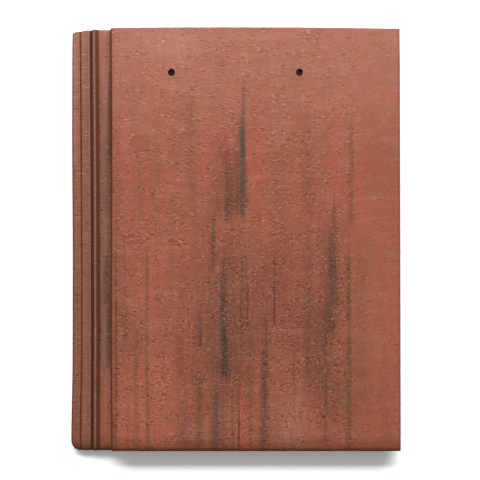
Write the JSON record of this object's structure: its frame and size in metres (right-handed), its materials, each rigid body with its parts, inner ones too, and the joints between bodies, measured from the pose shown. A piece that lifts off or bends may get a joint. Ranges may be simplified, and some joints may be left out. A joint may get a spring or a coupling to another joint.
{
  "type": "concrete roof tile",
  "caption": "Flat interlocking concrete roof tile: thin slab with side locks, hooking nibs underneath and nail holes near the head edge.",
  "frame": {"origin": "under the middle of the tile, level with the bottoms of the nibs", "axes": "+Y up the roof slope, from the tail edge to the head edge; +X from the underlock to the overlock; +Z out of the weather face"},
  "size_m": [0.328, 0.422, 0.033],
  "materials": {
    "concrete": "matte"
  },
  "bodies": {
    "root": {"roof_tile": "concrete"}
  },
  "joints": []
}
